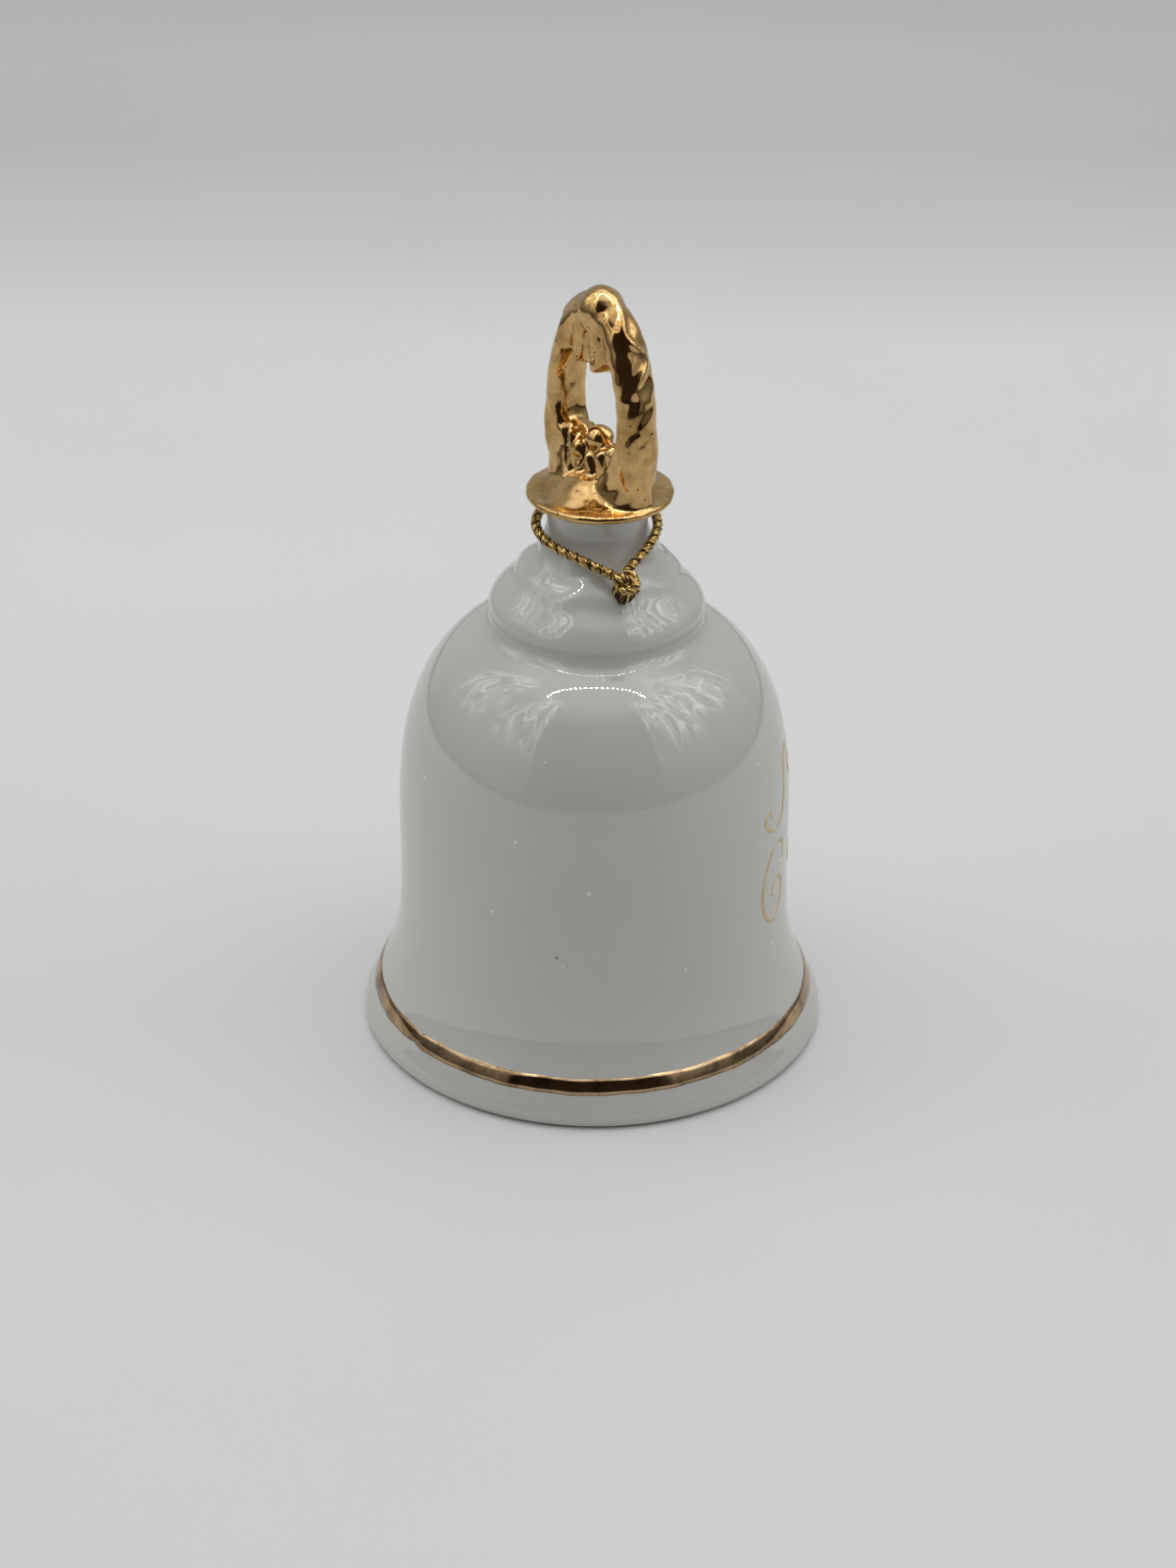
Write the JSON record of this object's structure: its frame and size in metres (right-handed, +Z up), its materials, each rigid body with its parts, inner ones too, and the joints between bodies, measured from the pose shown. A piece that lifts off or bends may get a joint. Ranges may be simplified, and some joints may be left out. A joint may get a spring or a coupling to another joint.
{
  "type": "table bell",
  "caption": "Glazed porcelain table bell with a gilt loop handle, a gilt line above the flared lip, gold scrollwork, a wire-hung clapper and a metallic cord round the neck.",
  "frame": {"origin": "middle of the foot ring, on the surface that the bell stands on", "axes": "+Z up through the handle; the decorated front faces -Y; the handle's loop lies in the XZ plane"},
  "size_m": [0.064, 0.064, 0.108],
  "materials": {
    "porcelain": "clear gloss glaze on off-white porcelain",
    "gilt_handle": "bright fired gold over glazed porcelain",
    "gilt_line": "worn bright gold line",
    "gilt_scroll": "thin matt gold print",
    "plaster": "matt cement",
    "brass_wire": "drawn wire",
    "bisque": "white glazed bead",
    "metallic_cord": "twisted gold and black lurex"
  },
  "bodies": {
    "bell": {"bell_shell": "porcelain", "handle": "gilt_handle", "rim_gilt_band": "gilt_line", "front_gilt_scrolls": "gilt_scroll", "hanger_plug": "plaster", "hanger_staple": "brass_wire", "neck_cord": "metallic_cord", "cord_knot": "metallic_cord"},
    "hanging_ring": {"jump_ring": "brass_wire"},
    "clapper": {"clapper_wire": "brass_wire", "clapper_ball": "bisque"}
  },
  "joints": [
    {"name": "ring_swing", "type": "hinge", "parent": "bell", "child": "hanging_ring", "pos_m": [0, 0, 0.0515], "axis": [1, 0, 0], "range_deg": [-23, 23]},
    {"name": "clapper_swing", "type": "hinge", "parent": "hanging_ring", "child": "clapper", "pos_m": [0, 0, 0.04795], "axis": [0, 1, 0], "range_deg": [-23, 23]}
  ]
}
